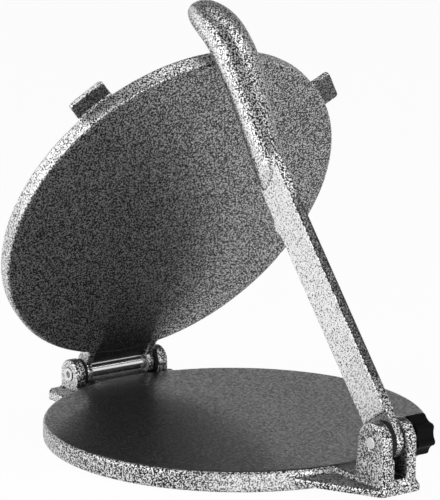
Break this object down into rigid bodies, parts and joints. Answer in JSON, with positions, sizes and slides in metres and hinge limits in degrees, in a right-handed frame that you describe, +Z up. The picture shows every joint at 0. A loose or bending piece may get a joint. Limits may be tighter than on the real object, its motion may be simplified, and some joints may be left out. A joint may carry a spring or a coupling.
{
  "type": "hinged hand press",
  "caption": "Hinged two-plate hand press with round cast plates, a pin hinge, a cranked lever in a front clevis and a star knob, for flattening dough.",
  "frame": {"origin": "centre of the base plate's underside, on the surface it stands on", "axes": "+Z up, -Y toward the lever's clevis, +Y toward the plate hinge, X along both pins with the knob on +X"},
  "size_m": [0.2572, 0.3319, 0.2905],
  "materials": {
    "hammertone": "cast, with silver and black hammertone paint",
    "steel": "polished",
    "brass_insert": "turned and threaded",
    "black_plastic": "satin moulded",
    "black_washer": "matt"
  },
  "bodies": {
    "base": {"base_plate": "hammertone", "hinge_washer_left": "black_washer", "hinge_washer_right": "black_washer", "eye_washer_left": "black_washer", "eye_washer_right": "black_washer", "pivot_bolt": "steel", "knob_washer": "steel"},
    "lever": {"lever": "hammertone"},
    "hinge_pin": {"hinge_pin": "steel"},
    "lid": {"lid_plate": "hammertone"},
    "knob": {"star_knob": "black_plastic", "knob_insert": "brass_insert"}
  },
  "joints": [
    {"name": "lever_swing", "type": "hinge", "parent": "base", "child": "lever", "pos_m": [0, -0.1632, 0.0373], "axis": [1, 0, 0], "range_deg": [0, 129]},
    {"name": "hinge_pin_turn", "type": "hinge", "parent": "base", "child": "hinge_pin", "pos_m": [0, 0.1434, 0.0171], "axis": [-1, 0, 0], "range_deg": [-61.4, 0]},
    {"name": "lid_open", "type": "hinge", "parent": "hinge_pin", "child": "lid", "pos_m": [0, 0.1434, 0.0171], "axis": [-1, 0, 0], "range_deg": [0, 54]},
    {"name": "knob_turn", "type": "hinge", "parent": "base", "child": "knob", "pos_m": [0.0205, -0.1632, 0.0373], "axis": [1, 0, 0], "continuous": true}
  ],
  "couplings": [
    {"joint": "hinge_pin_turn", "follows": "lever_swing", "ratio": -0.47597}
  ]
}
